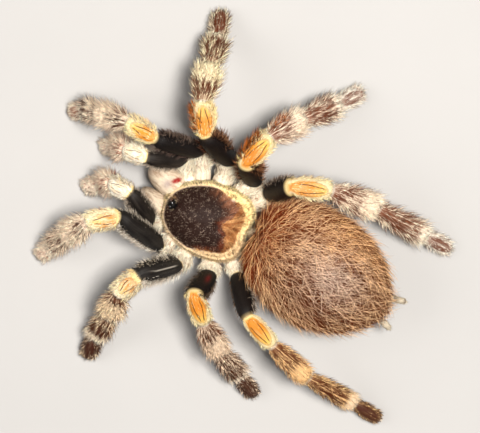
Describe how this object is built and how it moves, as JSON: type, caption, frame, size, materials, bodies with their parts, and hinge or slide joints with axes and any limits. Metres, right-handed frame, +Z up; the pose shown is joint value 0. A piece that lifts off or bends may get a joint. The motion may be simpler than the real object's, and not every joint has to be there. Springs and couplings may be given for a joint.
{
  "type": "tarantula",
  "caption": "Life-size tarantula standing with its legs spread: dark shell with a cream rim, orange knees, brown hairy abdomen.",
  "frame": {"origin": "on the floor, under the middle of the bounding box", "axes": "+Z up; the animal faces -Y; its right side is -X"},
  "size_m": [0.09, 0.0998, 0.0245],
  "materials": {
    "carapace_shell": "dark brown shell plate under short hair, with a broad cream margin",
    "eye_shell": "glossy black boss",
    "jaw_coat": "pinkish grey jaws with fine close hair",
    "fang_horn": "dark red-brown horn, polished",
    "coxa_coat": "cream plates with pale hair fringes",
    "abdomen_coat": "dense brown coat with long golden-tipped hairs",
    "spinneret_skin": "pale grey skin",
    "femur_coat": "velvety black with a pale hair fringe",
    "patella_coat": "orange flame patch with a cream border",
    "tibia_coat": "dark brown at the base, pale cream at the far end, long pale hairs",
    "metatarsus_coat": "dark brown at the base, pale cream at the far end, long pale hairs",
    "tarsus_coat": "dark brown pad with a pale hair rim"
  },
  "bodies": {
    "root": {"abdomen": "abdomen_coat", "carapace": "carapace_shell", "chelicera_left": "jaw_coat", "chelicera_right": "jaw_coat", "eye_mound": "eye_shell", "fang_left": "fang_horn", "fang_right": "fang_horn", "leg_1_left_femur": "femur_coat", "leg_1_left_metatarsus": "metatarsus_coat", "leg_1_left_patella": "patella_coat", "leg_1_left_tarsus": "tarsus_coat", "leg_1_left_tibia": "tibia_coat", "leg_1_right_femur": "femur_coat", "leg_1_right_metatarsus": "metatarsus_coat", "leg_1_right_patella": "patella_coat", "leg_1_right_tarsus": "tarsus_coat", "leg_1_right_tibia": "tibia_coat", "leg_2_left_femur": "femur_coat", "leg_2_left_metatarsus": "metatarsus_coat", "leg_2_left_patella": "patella_coat", "leg_2_left_tarsus": "tarsus_coat", "leg_2_left_tibia": "tibia_coat", "leg_2_right_femur": "femur_coat", "leg_2_right_metatarsus": "metatarsus_coat", "leg_2_right_patella": "patella_coat", "leg_2_right_tarsus": "tarsus_coat", "leg_2_right_tibia": "tibia_coat", "leg_3_left_femur": "femur_coat", "leg_3_left_metatarsus": "metatarsus_coat", "leg_3_left_patella": "patella_coat", "leg_3_left_tarsus": "tarsus_coat", "leg_3_left_tibia": "tibia_coat", "leg_3_right_femur": "femur_coat", "leg_3_right_metatarsus": "metatarsus_coat", "leg_3_right_patella": "patella_coat", "leg_3_right_tarsus": "tarsus_coat", "leg_3_right_tibia": "tibia_coat", "leg_4_left_femur": "femur_coat", "leg_4_left_metatarsus": "metatarsus_coat", "leg_4_left_patella": "patella_coat", "leg_4_left_tarsus": "tarsus_coat", "leg_4_left_tibia": "tibia_coat", "leg_4_right_femur": "femur_coat", "leg_4_right_metatarsus": "metatarsus_coat", "leg_4_right_patella": "patella_coat", "leg_4_right_tarsus": "tarsus_coat", "leg_4_right_tibia": "tibia_coat", "palp_left_femur": "femur_coat", "palp_left_patella": "patella_coat", "palp_left_tarsus": "tarsus_coat", "palp_left_tibia": "tibia_coat", "palp_right_femur": "femur_coat", "palp_right_patella": "patella_coat", "palp_right_tarsus": "tarsus_coat", "palp_right_tibia": "tibia_coat", "pedicel": "coxa_coat", "spinneret_left": "spinneret_skin", "spinneret_right": "spinneret_skin", "sternum_and_coxae": "coxa_coat"}
  },
  "joints": []
}
